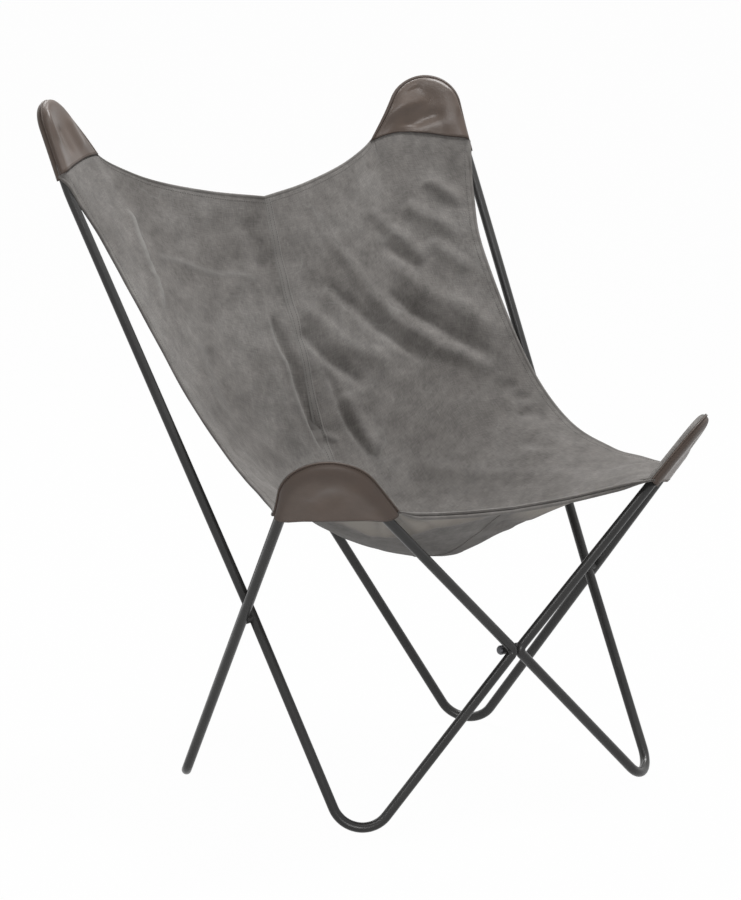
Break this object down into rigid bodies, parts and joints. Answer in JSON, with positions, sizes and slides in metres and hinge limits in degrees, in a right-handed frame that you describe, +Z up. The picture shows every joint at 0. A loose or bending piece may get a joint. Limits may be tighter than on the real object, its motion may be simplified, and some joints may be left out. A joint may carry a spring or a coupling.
{
  "type": "butterfly sling chair",
  "caption": "Low lounge chair: a canvas sling with leather horn pockets hangs from the raised horns of a crossed frame of bent steel rod.",
  "frame": {"origin": "on the floor under the centre of the chair's outline", "axes": "+Z up, -Y the way the sitter faces, +X to the right as seen from the front"},
  "size_m": [0.678, 0.6272, 0.8686],
  "materials": {
    "coated_steel": "dark grey satin powder coat",
    "dark_zinc": "dark zinc plating",
    "canvas": "grey-brown waxed cotton canvas with pale creases",
    "leather": "dark brown smooth leather, soft sheen"
  },
  "bodies": {
    "root": {"left_seat_rod": "coated_steel", "right_seat_rod": "coated_steel", "left_back_rod": "coated_steel", "right_back_rod": "coated_steel", "left_crossing_weld": "coated_steel", "right_crossing_weld": "coated_steel", "front_left_sleeve": "coated_steel", "front_right_sleeve": "coated_steel", "back_left_sleeve": "coated_steel", "back_right_sleeve": "coated_steel", "front_bolt": "dark_zinc", "back_bolt": "dark_zinc", "front_nut": "dark_zinc", "back_nut": "dark_zinc", "front_head_washer": "dark_zinc", "front_nut_washer": "dark_zinc", "back_head_washer": "dark_zinc", "back_nut_washer": "dark_zinc", "left_canvas_panel": "canvas", "right_canvas_panel": "canvas", "centre_seam_strip": "canvas", "back_left_tip": "leather", "back_right_tip": "leather", "back_left_pocket": "leather", "back_right_pocket": "leather", "front_left_pocket": "leather", "front_right_pocket": "leather"}
  },
  "joints": []
}
